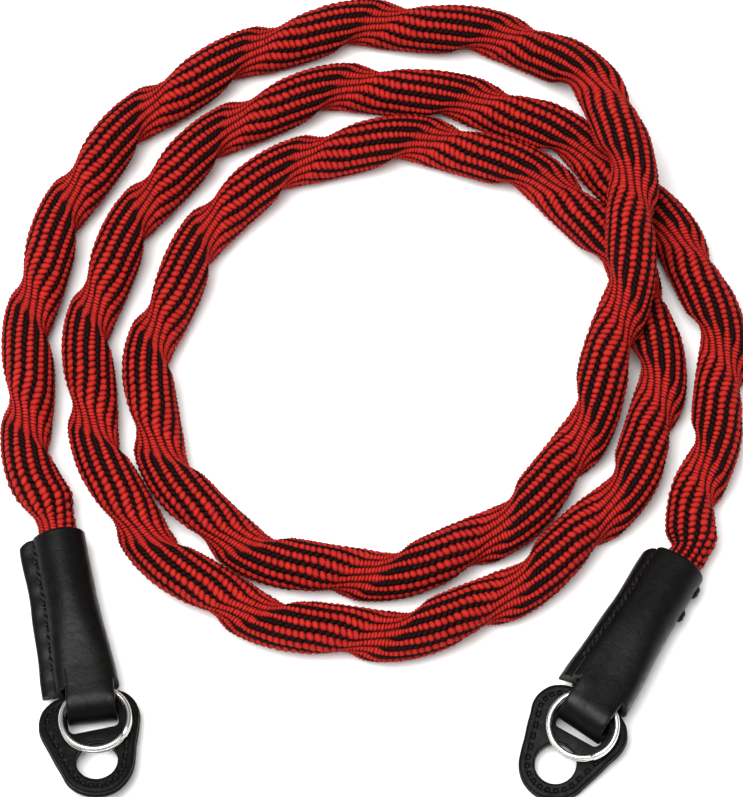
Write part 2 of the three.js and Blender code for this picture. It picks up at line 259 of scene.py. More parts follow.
def skin(name, rings):
    """A closed skin over a row of rings of points, filled at both ends, facing outwards."""
    rings = np.asarray(rings)
    rows, cols = rings.shape[:2]
    faces = []
    for i in range(rows - 1):
        for j in range(cols):
            k = (j + 1) % cols
            faces.append((i * cols + j, i * cols + k, (i + 1) * cols + k, (i + 1) * cols + j))
    faces.append(tuple(reversed(range(cols))))
    faces.append(tuple((rows - 1) * cols + j for j in range(cols)))
    data = bpy.data.meshes.new(name)
    data.from_pydata(rings.reshape(-1, 3).tolist(), [], faces)
    data.polygons.foreach_set("use_smooth", [True] * len(data.polygons))
    shell = bmesh.new()
    shell.from_mesh(data)
    bmesh.ops.recalc_face_normals(shell, faces=shell.faces)
    shell.to_mesh(data)
    shell.free()
    return new_object(name, data)


# The shaded core under the stitches
CORE_SIDES = 16
CORE_STEP = 1.3 * MM
CORE_DEPTH = 0.42 * MM


def make_core(material):
    count = int(LENGTH / CORE_STEP)
    along = np.linspace(0, LENGTH, count)[:, None] + np.zeros(CORE_SIDES)
    angle = np.zeros((count, 1)) + np.arange(CORE_SIDES) / CORE_SIDES
    place, _ = cord_surface(along, angle, np.full(along.shape, -CORE_DEPTH))
    core = skin("cord_core", place)
    core.data.materials.append(material)
    return core


# The braid's stitches
TABLE_CUTS = 1000
FINEST_WAVES = 22           # waves finer than a turn over this fade away


def even_table(rows, values, drift):
    """A law over one turn less its even drift, sampled evenly and slightly smoothed."""
    turns = np.linspace(0, 1, TABLE_CUTS, endpoint=False)
    first = rows[0]
    shifted = (turns - first) % 1 + first
    law = np.interp(shifted, rows, values) - drift * (shifted - first)
    spectrum = np.fft.rfft(law)
    spectrum *= np.exp(-(np.arange(len(spectrum)) / FINEST_WAVES) ** 2)
    return turns, np.fft.irfft(spectrum, len(law))


TURNS, SIDE = even_table(SWAY_TURN, SWAY, SWAY_OVER)
_, AHEAD = even_table(BRAID_TURN, BRAID_PASSED, 1)


def strands_passed(turn):
    return turn - BRAID_TURN[0] + np.interp(turn % 1, TURNS, AHEAD, period=1)


# The law from before the cord's first turn to past its last one, 2000 samples a turn
DENSE_TURN = np.linspace(-2, 44, 92001)
DENSE_PASSED = strands_passed(DENSE_TURN)


def braid_place(black_count, column_count):
    """Where a count of black strands and a count of columns meet: length and angle."""
    turn = np.interp(black_count / STRANDS, DENSE_PASSED, DENSE_TURN)
    sway = SWAY_OVER * (turn - SWAY_TURN[0]) + np.interp(turn % 1, TURNS, SIDE, period=1)
    pitches = (2 * (turn - LOBE_START) + sway - column_count / STRANDS) / (1 + RED_LAY)
    return pitches * LOBE_PITCH, turn - LOBE_START - pitches


# Where a float's rings of points stand along it, and how wide the outer ones are
STATIONS = np.array((-1, -0.76, 0, 0.76, 1))
PLUMP = 0.7
# One float of each colour: the strand and the column that the first one is on, its reach
# over the strands that it passes, the way that it runs in strands and columns, its breadth
# against the room that it has, how far it bulges over the skin and dives under it at its
# ends, and how far the whole float sits over the skin
FLOAT = {
    "red": {"seed": 11, "strand": 0, "column": 1.5, "reach": 1.20, "way": (0.64, 1.10),
            "breadth": 1.36, "bulge": 0.25 * MM, "dive": 0.42 * MM, "seat": -0.17 * MM},
    "black": {"seed": 23, "strand": 0.5, "column": 3.5, "reach": 1.12, "way": (0.10, -0.95),
              "breadth": 1.36, "bulge": 0.24 * MM, "dive": 0.4 * MM, "seat": -0.3 * MM},
}
WIDEST_STEP = 1.6 * MM      # a float is cut to this where the strands lie wide apart
LEAN = 0.25                 # how much its breadth leans from square to it to its column
DIVE_POWER = 2.5            # its ends dive steeply
TOP_FROM = 0.3              # its middle lies this share of the bulge over its seat
TOP_RISE = 1.2              # and it is this much thicker than the bulge
IN_SLEEVE = 2.5 * MM        # how far the stitches go on inside the sleeves
UNEVEN = {"place": 0.04, "breadth": 0.03, "bulge": 0.08}


def stitch_template():
    """One stitch as a small closed pillow: along, across and height, each from -1 to 1."""
    pillow = bmesh.new()
    bmesh.ops.create_uvsphere(pillow, u_segments=4, v_segments=4, radius=1)
    bmesh.ops.triangulate(pillow, faces=pillow.faces)
    pillow.verts.ensure_lookup_table()
    points = np.array([(v.co.z, v.co.x, v.co.y) for v in pillow.verts])
    # The sphere's rings at 0.71 go to the outer stations
    outer = (np.abs(points[:, 0]) > 0.5) & (np.abs(points[:, 0]) < 0.9)
    points[outer, 0] = np.sign(points[outer, 0]) * STATIONS[3]
    points[outer, 1:] *= PLUMP / math.sqrt(0.5)
    faces = [[v.index for v in f.verts] for f in pillow.faces]
    pillow.free()
    # Sorted, because the operator's order of faces can change from run to run
    return points, np.array(sorted(np.roll(f, -np.argmin(f)).tolist() for f in faces))


def stitches(name, colour, part, parts, material):
    """The stitches of one colour over one part of the cord, as one mesh."""
    look = FLOAT[colour]
    chance = np.random.default_rng(look["seed"])
    last = int(STRANDS * (LENGTH / LOBE_PITCH + 2))
    black_count = np.arange(0, last)[:, None] + look["strand"]
    columns = 4 * np.arange(-STRANDS * 3, STRANDS * 3)[None, :] + look["column"]
    black_count, columns = np.broadcast_arrays(black_count, columns)
    along, angle = braid_place(black_count, columns)
    start, stop = (part + np.array((0, 1))) / parts * LENGTH
    inside = HELD_LENGTH - IN_SLEEVE
    kept = (angle >= 0) & (angle < 1) & (along >= max(start, inside))
    kept &= along < min(stop, LENGTH - inside)
    black_count, columns = black_count[kept], columns[kept]
    along, angle = along[kept], angle[kept]
    count = len(along)
    turn = along / LOBE_PITCH + LOBE_START + angle
    share = np.interp(turn % 1, BLACK_TURN, BLACK_SHARE)
    # The way that the float runs, counted in strands and columns, and its half length
    reach = 2 * ((1 - share) if colour == "red" else share) * look["reach"]
    way = np.broadcast_to(look["way"], (count, 2))
    jitter = chance.normal(0, UNEVEN["place"], (count, 2))
    centre = np.stack([black_count, columns], 1) + jitter
    spots = centre[:, None] + way[:, None] * (reach[:, None] * STATIONS)[..., None]
    s_spot, a_spot = braid_place(spots[..., 0], spots[..., 1])
    place, normal = cord_surface(s_spot, a_spot)
    # Its breadth lies between square to it and along the column, so that it fits close
    # against its neighbours there, and is more than half the room between them
    next_s, next_a = braid_place(centre[:, 0] + 1, centre[:, 1])
    beside, _ = cord_surface(next_s, next_a)
    step = beside - place[:, 2]
    step *= np.minimum(1, WIDEST_STEP / np.linalg.norm(step, axis=1))[:, None]
    column = unit(step)[:, None]
    square = unit(np.cross(normal, unit(np.gradient(place, axis=1))))
    square *= np.sign((square * column).sum(-1, keepdims=True))
    across = unit(square + LEAN * column)
    across = unit(across - normal * (across * normal).sum(-1, keepdims=True))
    room = np.abs((step * across[:, 2]).sum(1)) / 2
    points, faces = stitch_template()
    station = np.abs(points[:, :1] - STATIONS).argmin(1)
    width = room * look["breadth"] * (1 + chance.normal(0, UNEVEN["breadth"], count))
    thick = np.minimum(room, look["bulge"]) * (1 + chance.normal(0, UNEVEN["bulge"], count))
    dive = look["dive"] * np.abs(points[:, 0]) ** DIVE_POWER
    height = (TOP_RISE * points[:, 2] + TOP_FROM) * thick[:, None] - dive + look["seat"]
    body = place[:, station] + normal[:, station] * height[..., None]
    body += across[:, station] * (points[:, 1] * width[:, None])[..., None]
    body[..., 2] = np.maximum(body[..., 2], LEAST_HEIGHT)
    joined = (faces[None] + (np.arange(count) * len(points))[:, None, None]).reshape(-1, 3)
    data = bpy.data.meshes.new(name)
    data.vertices.add(count * len(points))
    data.vertices.foreach_set("co", body.reshape(-1).astype(np.float32))
    data.loops.add(joined.size)
    data.loops.foreach_set("vertex_index", joined.ravel().astype(np.int32))
    data.polygons.add(len(joined))
    data.polygons.foreach_set("loop_start", np.arange(0, joined.size, 3, dtype=np.int32))
    data.polygons.foreach_set("use_smooth", np.ones(len(joined), bool))
    data.update(calc_edges=True)
    lay = data.attributes.new("lay", "FLOAT_VECTOR", "POINT")
    tint = chance.random((count, 1))
    values = np.stack(np.broadcast_arrays(points[:, 0], points[:, 1], tint), -1)
    lay.data.foreach_set("vector", values.reshape(-1).astype(np.float32))
    data.validate()
    data.materials.append(material)
    return new_object(name, data)


# Materials of the cord
TINT_SHARE = 0.25           # how much of the way from light to dark goes by chance
SHADE_FROM = 0.35            # painted shade darkens a float from here to its edge, this share of the way to dark
SHADE_SHARE = 0.75
# Plies of about 0.15 mm twist slantwise round each float. They are drawn about four times
# as coarse, so that they show: radians over half its length and half its breadth.
PLY_TURNS = (9, 5, 0)
SPECKS = 0.9 / MM           # specks in the gaps, to a metre


def yarn(name, light, dark, roughness):
    """Spun polyester yarn, tightly braided: each float is a soft matt pillow, with painted shade
    that darkens it towards the edges where it dives, and no two are quite alike."""
    made, tree, face = new_material(name)
    lay = add(tree, "ShaderNodeAttribute", attribute_name="lay", attribute_type="GEOMETRY")
    parts = add(tree, "ShaderNodeSeparateXYZ", {"Vector": lay.outputs["Vector"]})
    ends = add(tree, "ShaderNodeMath", {0: parts.outputs["X"]}, operation="ABSOLUTE")
    side = add(tree, "ShaderNodeMath", {0: parts.outputs["Y"]}, operation="ABSOLUTE")
    edge = add(tree, "ShaderNodeMath", {0: ends.outputs[0], 1: side.outputs[0]},
               operation="MAXIMUM")
    chance = add(tree, "ShaderNodeMath", {0: parts.outputs["Z"], 1: TINT_SHARE},
                 operation="MULTIPLY")
    # Painted shade: the float's colour darkens towards its edges and ends, where it dives under its
    # neighbours
    edge_shade = add(tree, "ShaderNodeMapRange", {"Value": edge.outputs[0], "From Min": SHADE_FROM,
                                             "From Max": 1, "To Min": 0, "To Max": SHADE_SHARE})
    tint_and_shade = add(tree, "ShaderNodeMath", {0: chance.outputs[0], 1: edge_shade.outputs[0]},
                operation="ADD", use_clamp=True)
    colour = add(tree, "ShaderNodeValToRGB", {"Fac": tint_and_shade.outputs[0]})
    colour.color_ramp.elements[0].color = light
    colour.color_ramp.elements[1].color = dark
    tree.links.new(colour.outputs[0], face.inputs["Base Color"])
    twist = add(tree, "ShaderNodeVectorMath", {0: lay.outputs["Vector"], 1: PLY_TURNS},
                operation="MULTIPLY")
    turned = add(tree, "ShaderNodeSeparateXYZ", {"Vector": twist.outputs[0]})
    phase = add(tree, "ShaderNodeMath", {0: turned.outputs["X"], 1: turned.outputs["Y"]})
    ply = add(tree, "ShaderNodeMath", {0: phase.outputs[0]}, operation="SINE")
    bump = add(tree, "ShaderNodeBump", {"Height": ply.outputs[0], "Strength": 0.35,
                                        "Distance": 0.03 * MM})
    tree.links.new(bump.outputs[0], face.inputs["Normal"])
    face.inputs["Roughness"].default_value = roughness
    # Loose fibres scatter the light, so hardly any of it is mirrored
    face.inputs["Specular IOR Level"].default_value = 0.05
    return made


def shaded_core(name, colour, roughness):
    """The shaded gap between the yarns, nearly black with a trace of red."""
    made, tree, face = new_material(name)
    where = add(tree, "ShaderNodeTexCoord")
    specks = add(tree, "ShaderNodeTexNoise", {"Vector": where.outputs["Object"],
                                              "Scale": SPECKS})
    bump = add(tree, "ShaderNodeBump", {"Height": specks.outputs[0], "Strength": 0.4,
                                        "Distance": 0.1 * MM})
    tree.links.new(bump.outputs[0], face.inputs["Normal"])
    face.inputs["Base Color"].default_value = colour
    face.inputs["Roughness"].default_value = roughness
    return made


# The dark colours serve both the tint by chance and the painted shade at the floats' edges
RED_YARN = yarn("red_polyester_yarn", srgb("#AD261F"), srgb("#640B0F"), 0.7)
BLACK_YARN = yarn("black_polyester_yarn", srgb("#1B0B0A"), srgb("#0E0505"), 0.7)
CORE_SHADE = shaded_core("shaded_yarn_core", srgb("#240406"), 0.9)

core = make_core(CORE_SHADE)
PARTS = 3                   # each colour is cut into three pieces along the cord
floats = []
for colour, material in (("red", RED_YARN), ("black", BLACK_YARN)):
    for part in range(PARTS):
        floats.append(stitches(f"{colour}_yarn_{part + 1}", colour, part, PARTS, material))
for piece in (core, *floats):
    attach(piece, "root")
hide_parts("braided_cord")


# Shapes that the leather and the rings share
def swept(path, radius, sides):
    """Rings of points round a path; the radius may change along it."""
    path = np.asarray(path, float)
    ahead = unit(np.gradient(path, axis=0))
    side = unit(np.cross(ahead[0], (0, 0, 1.0)))
    radius = np.broadcast_to(radius, len(path))
    rings = []
    for point, way, size in zip(path, ahead, radius):
        side = unit(side - way * side.dot(way))
        top = np.cross(side, way)
        turn = np.arange(sides) * 2 * np.pi / sides
        rings.append(point + size * (np.cos(turn)[:, None] * side + np.sin(turn)[:, None] * top))
    return np.array(rings)


def placed(points, matrix):
    """Points moved by a matrix, in a numpy array of any shape."""
    turn = np.array(matrix)
    return points @ turn[:3, :3].T + turn[:3, 3]


def join(name, pieces):
    """One mesh from several, which then go."""
    shell = bmesh.new()
    for piece in pieces:
        shell.from_mesh(piece.data)
        bpy.data.objects.remove(piece)
    data = bpy.data.meshes.new(name)
    shell.to_mesh(data)
    shell.free()
    return new_object(name, data)


def dress(piece, material, replaces=None):
    piece.data.materials.append(material)
    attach(piece, "root")
    if replaces:
        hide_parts(replaces)


# Leather sleeve: a wrap whose two edges are sewn into a lip along one side, round at the
# mouth and pressed flat towards the ring
FLATTEN_ALONG = (0, 0.42, 0.58, 0.74, 0.89, 1)
FLATTEN = (0, 0, 0.22, 0.62, 0.92, 1)
LIP_WIDTH = 2.9 * MM
LIP_HALF = 1.45 * MM
LIP_ANGLES = 0.5            # radians each side of the lip that are cut finely
SEAM_PITCH = 4.6 * MM
SEAM_FIRST = 3.2 * MM
SEAM_DEPTH = 0.45 * MM
SEAM_COLUMN = 12            # the point of the outline that lies in the groove
LIP_POINTS = 54             # points of the outline round the lip
BACK_POINTS = 52            # and round the rest of it
SQUARER = 1.3               # the pressed end is squarer than an ellipse by this power
FULL_PLACE = 0.5            # radians from the lip where the leather beside it is fullest
FULL_SPREAD = 0.38
LIP_WAVE = 0.12 * MM
LIP_WAVE_RADIAN = 2.3 * MM  # length along the lip for each radian of its wave
LIP_PULL = 0.05             # how much thinner the lip is at a stitch
GROOVE_PLACE = 0.29         # radians from the lip's middle to the groove beside it
GROOVE_SPREAD = 0.07
LEAST_PULL = 0.4            # the groove's depth between stitches, against that at one
TRIM_FROM = 1.1             # the lip's cut slants from this far out, in mouth radii
TRIM_OVER = 0.45
TRIM = 1.1 * MM             # how far the lip's corner is set back at the mouth
TRIM_LENGTH = 3 * MM


def sleeve_outline(along, end, inset=0.0, lip=True):
    """The sleeve's outline at a distance from the mouth, seen along it: y and z."""
    lip_at = math.pi - math.radians(end["lip_rise"])
    coarse = np.linspace(lip_at + LIP_ANGLES, lip_at + 2 * math.pi - LIP_ANGLES, BACK_POINTS)
    fine = np.linspace(lip_at - LIP_ANGLES, lip_at + LIP_ANGLES, LIP_POINTS)
    angle = np.concatenate([fine, coarse[1:-1]])
    flat = np.interp(along / SLEEVE_LENGTH, FLATTEN_ALONG, FLATTEN)
    wide = MOUTH_RADIUS + (END_HALF_WIDTH - MOUTH_RADIUS) * flat
    high = MOUTH_RADIUS + (END_HALF_HEIGHT - MOUTH_RADIUS) * flat
    power = 2 + SQUARER * flat
    cosine, sine = np.cos(angle), np.sin(angle)
    tube = ((np.abs(cosine) / (wide - inset)) ** power
            + (np.abs(sine) / (high - inset)) ** power) ** (-1 / power)
    off = np.angle(np.exp(1j * (angle - lip_at)))
    # The leather leaves the tube towards the lip before it gets there
    tube = tube + end["shoulder"] * np.exp(-((off + FULL_PLACE) / FULL_SPREAD) ** 2)
    reach = tube
    bend = 0
    if lip:
        out = wide + LIP_WIDTH + LIP_WAVE * np.sin(along / LIP_WAVE_RADIAN)
        stitch = math.cos((along - SEAM_FIRST) * 2 * math.pi / SEAM_PITCH)
        half = LIP_HALF * (1 - LIP_PULL * stitch)
        flap = ((np.abs(np.cos(off)) / out) ** 4 + (np.abs(np.sin(off)) / half) ** 4) ** -0.25
        reach = np.maximum(tube, np.where(np.abs(off) < LIP_ANGLES, flap, 0))
        # The thread pulls the groove between tube and lip in at each stitch
        pull = (1 + LEAST_PULL) / 2 + (1 - LEAST_PULL) / 2 * stitch
        groove = np.exp(-((np.abs(off) - GROOVE_PLACE) / GROOVE_SPREAD) ** 2)
        reach = reach - SEAM_DEPTH * pull * groove
        bend = end["lip_bend"] * np.clip((reach - tube) / LIP_WIDTH, 0, 1) ** 2
    return reach * cosine, high + reach * sine - bend


def sleeve_top(along, end, y):
    """The height of the sleeve's upper skin at a place beside its middle line."""
    side, height = sleeve_outline(along, end, lip=False)
    upper = height > END_HALF_HEIGHT
    order = np.argsort(side[upper])
    return np.interp(y, side[upper][order], height[upper][order])


def sleeve_ring(along, end, inset=0.0, lip=True, trim=0.0):
    y, z = sleeve_outline(min(along, SLEEVE_LENGTH), end, inset, lip)
    beyond = np.hypot(y, z - MOUTH_RADIUS) / MOUTH_RADIUS - TRIM_FROM
    beyond = np.clip(beyond / TRIM_OVER, 0, 1)
    x = along + trim * beyond ** 2
    return np.stack([np.broadcast_to(x, y.shape), y, np.maximum(z, LEAST_HEIGHT)], 1)


# Rings of the sleeve: the cut edge round the mouth, as places along it and insets, and the
# outer skin behind it, close together at first
MOUTH_EDGE = ((0.12 * MM, 1.1 * MM), (-0.05 * MM, 0.8 * MM), (0, 0.35 * MM))
SKIN_PLACES = (0.1, 0.3, 0.7, 1.3, *np.arange(2.0, 33.2, 0.55))
MOUTH_ROUND = 0.3 * MM
LINING = 11 * MM            # how far in the lining goes from the mouth
END_LINING = 24 * MM        # and from where it goes to the other end
CUT_ROUND = 0.14 * MM


def make_sleeve(end):
    lined = {"inset": WALL, "lip": False}
    rings = [sleeve_ring(LINING, end, **lined), sleeve_ring(0.5 * MM, end, **lined)]
    for s, inset in MOUTH_EDGE:
        rings.append(sleeve_ring(s, end, inset, lip=False))
    for s in SKIN_PLACES:
        rings.append(sleeve_ring(s * MM, end, max(0, MOUTH_ROUND - s * MM),
                                 trim=TRIM * max(0, 1 - s * MM / TRIM_LENGTH)))
    # The cut edge round the other end
    before_cut = SLEEVE_LENGTH - 0.15 * MM
    rings.append(sleeve_ring(before_cut, end))
    rings.append(sleeve_ring(SLEEVE_LENGTH, end, CUT_ROUND))
    rings.append(sleeve_ring(SLEEVE_LENGTH, end, WALL - CUT_ROUND, lip=False))
    rings.append(sleeve_ring(before_cut, end, **lined))
    rings.append(sleeve_ring(END_LINING, end, **lined))
    sleeve = skin("sleeve_wrap_" + end["side"], placed(np.array(rings), end_matrix(end)))
    dress(sleeve, SLEEVE_LEATHER, "end_sleeve_" + end["side"])
    sleeve.data.materials.append(RAW_EDGE)
    # The rows of faces on the two cut edges show raw leather
    cols = len(rings[0])
    raw = [0] * len(sleeve.data.polygons)
    for row in (2, 3, 4, len(rings) - 4, len(rings) - 3):
        raw[row * cols:(row + 1) * cols] = [1] * cols
    sleeve.data.polygons.foreach_set("material_index", raw)


# Tongue: the sleeve's strap that passes through the tab's slot, folds round the ring and
# goes back under the sleeve
TONGUE_START = 24 * MM
TONGUE_OUTER = 4.6 * MM
TONGUE_THICK = 1.25 * MM
TONGUE_HALF_WIDTH = 4.95 * MM
TONGUE_SWAY_ALONG = (28 * MM, 33 * MM, 40 * MM)
TONGUE_SHIFT = 0.2 * MM
TONGUE_SKEW = 0.09          # its fold isn't quite square to it
SKEW_FROM = 30 * MM
SKEW_OVER = 6 * MM
RUN_CUTS = 22
FOLD_CUTS = 25
TONGUE_SINK_ALONG = (24 * MM, 29 * MM, 33.2 * MM, 36 * MM)
TONGUE_SINK = (0.5 * MM, 0.4 * MM, 0, 0)
TONGUE_PROUD_ALONG = (24 * MM, 28 * MM, 33 * MM, 37 * MM)
TONGUE_PROUD = (-0.05 * MM, 0.01 * MM, 0.06 * MM, 0.02 * MM)
TONGUE_LEVEL = 37.8 * MM    # where its upper side has become flat across
# How much narrower and thinner it is, so that it clears the slot
TONGUE_EASE = {"half_width": 0.1 * MM, "half_thick": 0.02 * MM}
# Its section, counted in half widths and half thicknesses
TONGUE_SECTION = np.array(
    [(a, 1.0) for a in np.linspace(-0.94, 0.94, 15)]
    + [(0.985, 0.8), (1, 0.3), (1, -0.3), (0.985, -0.8)]
    + [(a, -1.0) for a in np.linspace(0.94, -0.94, 7)]
    + [(-0.985, -0.8), (-1, -0.3), (-1, 0.3), (-0.985, 0.8)])


def make_tongue(end):
    middle = TONGUE_OUTER - TONGUE_THICK / 2
    runs = np.linspace(TONGUE_START, end["fold"], RUN_CUTS)
    bend = np.linspace(math.pi / 2, -math.pi / 2, FOLD_CUTS)[1:-1]
    line = [(x, TONGUE_OUTER + middle) for x in runs]
    line += [(end["fold"] + middle * math.cos(a), TONGUE_OUTER + middle * math.sin(a))
             for a in bend]
    line += [(x, TONGUE_OUTER - middle) for x in reversed(runs)]
    line = np.array(line)
    way = unit(np.gradient(line, axis=0))
    out = np.stack([-way[:, 1], way[:, 0]], 1)
    section_y, section_z = TONGUE_SECTION.T
    half_width = TONGUE_HALF_WIDTH - TONGUE_EASE["half_width"]
    half_thick = TONGUE_THICK / 2 - TONGUE_EASE["half_thick"]
    rings = []
    for (x, z), (ox, oz) in zip(line, out):
        sway = np.interp(x, TONGUE_SWAY_ALONG, end["tongue_sway"])
        y = TONGUE_SHIFT + sway + half_width * section_y
        thick = half_thick * section_z
        skew = np.clip((x - SKEW_FROM) / SKEW_OVER, 0, 1) * TONGUE_SKEW * y
        if z > TONGUE_OUTER:
            # It is one with the sleeve's upper skin and becomes flat towards the fold
            left = np.clip((TONGUE_LEVEL - x) / (TONGUE_LEVEL - SLEEVE_LENGTH), 0, 1)
            left = left * left * (3 - 2 * left)
            skin_height = sleeve_top(min(x, SLEEVE_LENGTH), end, y)
            level = (skin_height - 2 * TONGUE_OUTER) * left
            level = level + np.interp(x, TONGUE_PROUD_ALONG, TONGUE_PROUD)
        else:
            level = np.interp(x, TONGUE_SINK_ALONG, TONGUE_SINK)
        rings.append(np.stack([x + ox * thick + skew, y, z + level + oz * thick], 1))
    spots = placed(np.array(rings), end_matrix(end))
    spots[..., 2] = np.maximum(spots[..., 2], LEAST_HEIGHT)
    tongue = skin("tongue_" + end["side"], spots)
    dress(tongue, SLEEVE_LEATHER)


# Guard tab: two layers of leather sewn together round the edge, with a slot and a hole
TAB_THICK = 2.4 * MM
TAB_BACK = 33.9 * MM
TAB_SIDE = -1.0 * MM
TAB_SEAT = {"left": 3.0 * MM, "right": 3.7014 * MM}    # the middle of its back edge
SHOULDER_RADIUS = 6 * MM
SHOULDER = (39.9 * MM - TAB_BACK, 4.2 * MM)
TIP_RADIUS = 7.4 * MM
TIP = 49.15 * MM - TAB_BACK
HOLE_RADIUS = 4.15 * MM
SLOT = (37.2 * MM - TAB_BACK, 42.5 * MM - TAB_BACK, -4.3 * MM, 5.8 * MM)
SLOT_CORNER = 1.2 * MM
TAB_SEAM_INSET = 1.85 * MM
TAB_SEAM_PITCH = 2.25 * MM
TAB_CUTS = 420
SLOT_CUTS = 96
HOLE_CUTS = 110
# The two layers, with the glue line between them; the front is a little smaller
LAYERS = (
    {"name": "tab_back_", "low": 0.02 * MM, "high": TAB_THICK / 2 - 0.03 * MM,
     "set_back": 0, "front": False},
    {"name": "tab_front_", "low": TAB_THICK / 2 + 0.03 * MM, "high": TAB_THICK,
     "set_back": 0.12 * MM, "front": True},
)
# The rounded rim of a layer, round the outside and round an opening: how far in from the
# outline, and how far over the layer's lower face or under its upper one
RIM_BELOW = ((0.8 * MM, 0), (0.15 * MM, 0.06 * MM), (0, 0.3 * MM))
RIM_ABOVE = ((0, 0.45 * MM), (0.12 * MM, 0.16 * MM), (0.4 * MM, 0))
OPENING_BELOW = ((-0.35 * MM, 0), (-0.05 * MM, 0.1 * MM), (0, 0.3 * MM))
OPENING_ABOVE = ((0, 0.3 * MM), (-0.08 * MM, 0.08 * MM), (-0.35 * MM, 0))
RIM_UNEVEN = 0.05 * MM
RIM_SWELL = 0.14 * MM
SWELL_UNEVEN = 0.4
SLOW_WAVES = 40             # how many times the rim changes round the tab
TAB_SEED = {"left": 5, "right": 7}
# The front's relief inside the rim: how far in, the share of the rim's swell that stands
# there, and whether the stitches' pits sink there
RELIEF = (
    {"inset": 0.9 * MM, "swell": 1, "pit": 0}, {"inset": 1.3 * MM, "swell": 0.3, "pit": 0},
    {"inset": 1.45 * MM, "swell": 0, "pit": 0}, {"inset": 1.56 * MM, "swell": 0, "pit": 1},
    {"inset": 2.14 * MM, "swell": 0, "pit": 1}, {"inset": 2.25 * MM, "swell": 0, "pit": 0},
    {"inset": 2.5 * MM, "swell": 0, "pit": 0},
)
PIT_DEPTH = 0.45 * MM
PIT_GROOVE = 0.03 * MM      # the seam sinks this much between the pits
TAB_THREAD = {"radius": 0.28 * MM, "low": TAB_THICK - 0.78 * MM, "bow": 0.3 * MM,
              "half_length": 0.3, "points": 7, "sides": 6}
ARC_STEP = 0.12 * MM


def arc(middle, radius, start, stop):
    count = max(3, int(abs(stop - start) * radius / ARC_STEP))
    turn = np.linspace(start, stop, count)
    way = np.stack([np.cos(turn), np.sin(turn)], 1)
    return np.asarray(middle) + radius * way


def even_loop(points, count):
    """A closed outline cut into even steps, with its outward normals."""
    points = np.vstack([points, points[:1]])
    along = np.concatenate([[0], np.cumsum(np.linalg.norm(np.diff(points, axis=0), axis=1))])
    even = np.arange(count) * along[-1] / count
    place = np.stack([np.interp(even, along, points[:, k]) for k in (0, 1)], 1)
    ahead = np.roll(place, -1, 0) - np.roll(place, 1, 0)
    return place, unit(np.stack([ahead[:, 1], -ahead[:, 0]], 1)), along[-1]


def tab_outline():
    apart = math.hypot(TIP - SHOULDER[0], SHOULDER[1])
    lean = math.atan2(-SHOULDER[1], TIP - SHOULDER[0])
    meet = lean + math.acos((SHOULDER_RADIUS - TIP_RADIUS) / apart)
    tip = arc((TIP, 0), TIP_RADIUS, -meet, meet)
    upper = arc(SHOULDER, SHOULDER_RADIUS, meet, math.pi)
    lower = arc((SHOULDER[0], -SHOULDER[1]), SHOULDER_RADIUS, math.pi, 2 * math.pi - meet)
    return np.vstack([tip, upper, lower])


def slot_outline():
    x0, x1, y0, y1 = SLOT
    c = SLOT_CORNER
    corners = ((x1 - c, y1 - c), (x0 + c, y1 - c), (x0 + c, y0 + c), (x1 - c, y0 + c))
    quarter = math.pi / 2
    return np.vstack([arc(corner, c, i * quarter, (i + 1) * quarter)
                      for i, corner in enumerate(corners)])


